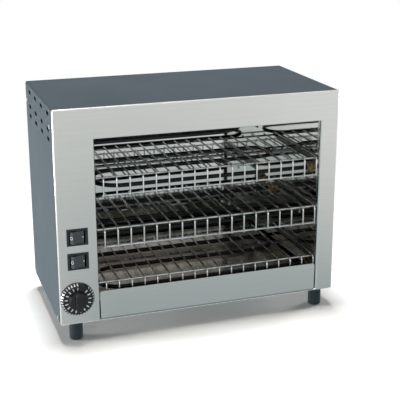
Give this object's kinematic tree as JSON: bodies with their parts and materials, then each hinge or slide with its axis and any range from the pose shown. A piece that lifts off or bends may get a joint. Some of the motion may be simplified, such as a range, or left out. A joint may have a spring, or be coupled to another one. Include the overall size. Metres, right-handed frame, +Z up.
{
  "type": "toast oven",
  "caption": "Counter-top toast oven: painted sheet cover, stainless front frame, wire racks with bent lips, tubular heating elements, slide-out crumb tray, rocker switches and a timer dial.",
  "frame": {"origin": "on the floor, under the middle of the overall length and width", "axes": "+X to the right as seen from the front, +Y towards the back panel, +Z up"},
  "size_m": [0.4544, 0.265, 0.36],
  "materials": {
    "cover_paint": "slate blue-grey, semi-matt",
    "satin_steel": "satin stainless sheet",
    "polished_steel": "mirror-polished stainless sheet",
    "zinc_steel": "galvanised sheet",
    "chromed_wire": "chromed wire",
    "tube_sheath": "dark oxidised sheath",
    "ceramic": "unglazed",
    "brass": "plain",
    "black_plastic": "fine-grained",
    "rocker_plastic": "semi-gloss",
    "dial_plastic": "semi-matt",
    "screw_steel": "bright zinc",
    "foot_rubber": "matt"
  },
  "bodies": {
    "casing": {"cover": "cover_paint", "front_frame": "satin_steel", "base_plate": "zinc_steel", "back_panel": "zinc_steel", "lining_left": "polished_steel", "lining_right": "polished_steel", "lining_back": "polished_steel", "lining_ceiling": "polished_steel", "heat_shield": "zinc_steel", "rail_upper_left": "polished_steel", "rail_upper_right": "polished_steel", "rail_middle_left": "polished_steel", "rail_middle_right": "polished_steel", "rail_lower_left": "polished_steel", "rail_lower_right": "polished_steel", "element_ceiling": "tube_sheath", "element_upper": "tube_sheath", "element_middle": "tube_sheath", "element_lower": "tube_sheath", "element_bushes": "ceramic", "element_nuts": "brass", "element_terminals": "brass", "element_clips": "zinc_steel", "tray_guide_left": "zinc_steel", "tray_guide_right": "zinc_steel", "switch_housing_upper": "black_plastic", "switch_housing_lower": "black_plastic", "switch_tabs": "brass", "timer_case": "zinc_steel", "timer_bell": "brass", "timer_screws": "screw_steel", "foot_front_left": "foot_rubber", "foot_front_right": "foot_rubber", "foot_rear_left": "foot_rubber", "foot_rear_right": "foot_rubber", "foot_screws": "screw_steel", "cover_screws": "screw_steel", "back_screws": "screw_steel", "cable_gland": "black_plastic", "gland_lock_nut": "black_plastic", "terminal_block": "ceramic"},
    "rack_upper": {"rack_upper": "chromed_wire"},
    "rack_middle": {"rack_middle": "chromed_wire"},
    "rack_lower": {"rack_lower": "chromed_wire"},
    "tray": {"tray_pan": "polished_steel", "tray_front": "satin_steel"},
    "rocker_upper": {"rocker_upper": "rocker_plastic"},
    "rocker_lower": {"rocker_lower": "rocker_plastic"},
    "dial": {"timer_dial": "dial_plastic", "timer_shaft": "screw_steel"}
  },
  "joints": [
    {"name": "rack_upper_slide", "type": "slide", "parent": "casing", "child": "rack_upper", "axis": [0, -1, 0], "range_m": [0, 0.14]},
    {"name": "rack_middle_slide", "type": "slide", "parent": "casing", "child": "rack_middle", "axis": [0, -1, 0], "range_m": [0, 0.14]},
    {"name": "rack_lower_lift", "type": "slide", "parent": "casing", "child": "rack_lower", "axis": [0, 0, 1], "range_m": [0, 0.03]},
    {"name": "tray_slide", "type": "slide", "parent": "casing", "child": "tray", "axis": [0, -1, 0], "range_m": [0, 0.18]},
    {"name": "timer_turn", "type": "hinge", "parent": "casing", "child": "dial", "pos_m": [-0.1985, -0.1195, 0.069], "axis": [0, 1, 0], "range_deg": [0, 315]},
    {"name": "rocker_upper_tilt", "type": "hinge", "parent": "casing", "child": "rocker_upper", "pos_m": [-0.195, -0.1119, 0.167], "axis": [0, 0, 1], "range_deg": [-25, 0]},
    {"name": "rocker_lower_tilt", "type": "hinge", "parent": "casing", "child": "rocker_lower", "pos_m": [-0.195, -0.1119, 0.129], "axis": [0, 0, 1], "range_deg": [-25, 0]}
  ]
}
